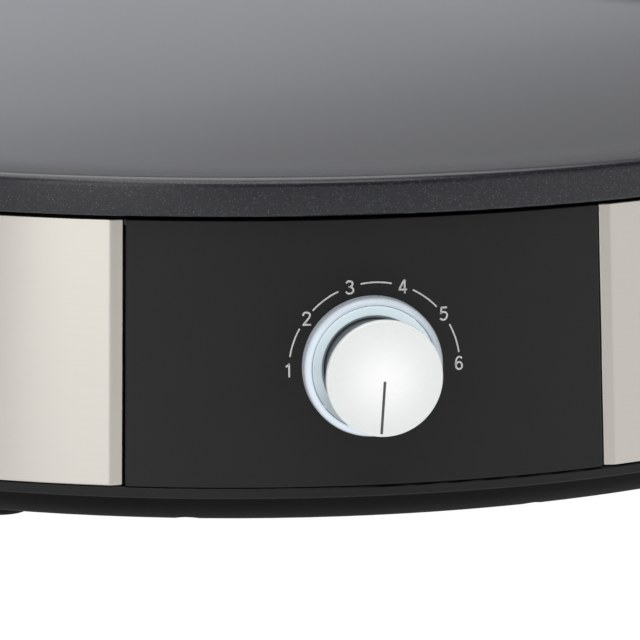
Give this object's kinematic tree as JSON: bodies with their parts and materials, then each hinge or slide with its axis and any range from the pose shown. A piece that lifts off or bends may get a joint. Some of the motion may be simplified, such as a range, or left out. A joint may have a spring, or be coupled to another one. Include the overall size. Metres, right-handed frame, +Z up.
{
  "type": "electric crepe maker",
  "caption": "Countertop electric crepe maker: round cast griddle plate on a low drum with brushed side bands and a black control panel with a ring-lit temperature knob.",
  "frame": {"origin": "on the drum's axis at table level, under the centre of the six feet", "axes": "+Z up out of the cooking surface, -Y towards the control panel, +X to the right seen from the front"},
  "size_m": [0.35, 0.3759, 0.082],
  "materials": {
    "plate_coating": "satin",
    "brushed_steel": "satin",
    "black_plastic": "matte",
    "foot_rubber": "matte",
    "ring_glow": "satin",
    "bezel_white": "satin",
    "cap_white": "satin",
    "knob_grey": "satin",
    "pointer_dark": "matte",
    "zinc_steel": "satin",
    "spring_steel": "satin",
    "element_steel": "satin",
    "aluminised": "satin",
    "ceramic_white": "matte",
    "brass": "satin",
    "board_green": "satin",
    "lamp_white": "gloss",
    "thermostat_plastic": "matte",
    "copper": "satin",
    "lead_brown": "satin",
    "lead_blue": "satin",
    "lead_earth": "satin",
    "gland_nylon": "satin"
  },
  "bodies": {
    "housing": {"griddle_plate": "plate_coating", "heating_element": "element_steel", "element_clips": "spring_steel", "element_clip_screws": "zinc_steel", "element_insulators": "ceramic_white", "element_terminals": "spring_steel", "heat_reflector": "aluminised", "reflector_spacers": "zinc_steel", "reflector_screws": "zinc_steel", "upper_ring": "zinc_steel", "plate_washers": "spring_steel", "plate_screws": "zinc_steel", "support_posts": "zinc_steel", "lower_post_screws": "zinc_steel", "upper_post_screws": "zinc_steel", "front_panel": "black_plastic", "rear_panel": "black_plastic", "panel_screws": "zinc_steel", "base_pan": "black_plastic", "rubber_feet": "foot_rubber", "side_band_left": "brushed_steel", "side_band_right": "brushed_steel", "light_ring": "ring_glow", "ring_bezel": "bezel_white", "led_board": "board_green", "leds": "lamp_white", "board_screws": "zinc_steel", "thermostat_bush": "brass", "bush_nut": "brass", "thermostat_bracket": "zinc_steel", "bracket_screws": "zinc_steel", "thermostat_body": "thermostat_plastic", "thermostat_terminals": "brass", "sensor_bulb": "copper", "capillary_tube": "copper", "bulb_clips": "spring_steel", "bulb_clip_screws": "zinc_steel", "limiter": "ceramic_white", "limiter_clamp": "spring_steel", "limiter_screws": "zinc_steel", "terminal_block": "ceramic_white", "block_screws": "brass", "live_lead": "lead_brown", "neutral_lead": "lead_blue", "heater_lead": "lead_brown", "earth_lead": "lead_earth", "earth_lug": "brass", "gland_body": "gland_nylon", "gland_nut": "gland_nylon", "gland_seal": "foot_rubber", "gland_locknut": "gland_nylon"},
    "knob": {"knob_body": "knob_grey", "knob_cap": "cap_white", "knob_pointer": "pointer_dark", "knob_clip": "spring_steel", "thermostat_shaft": "spring_steel"}
  },
  "joints": [
    {"name": "knob_turn", "type": "hinge", "parent": "housing", "child": "knob", "pos_m": [0, -0.18, 0.03905], "axis": [0, 1, 0], "range_deg": [0, 267]}
  ]
}
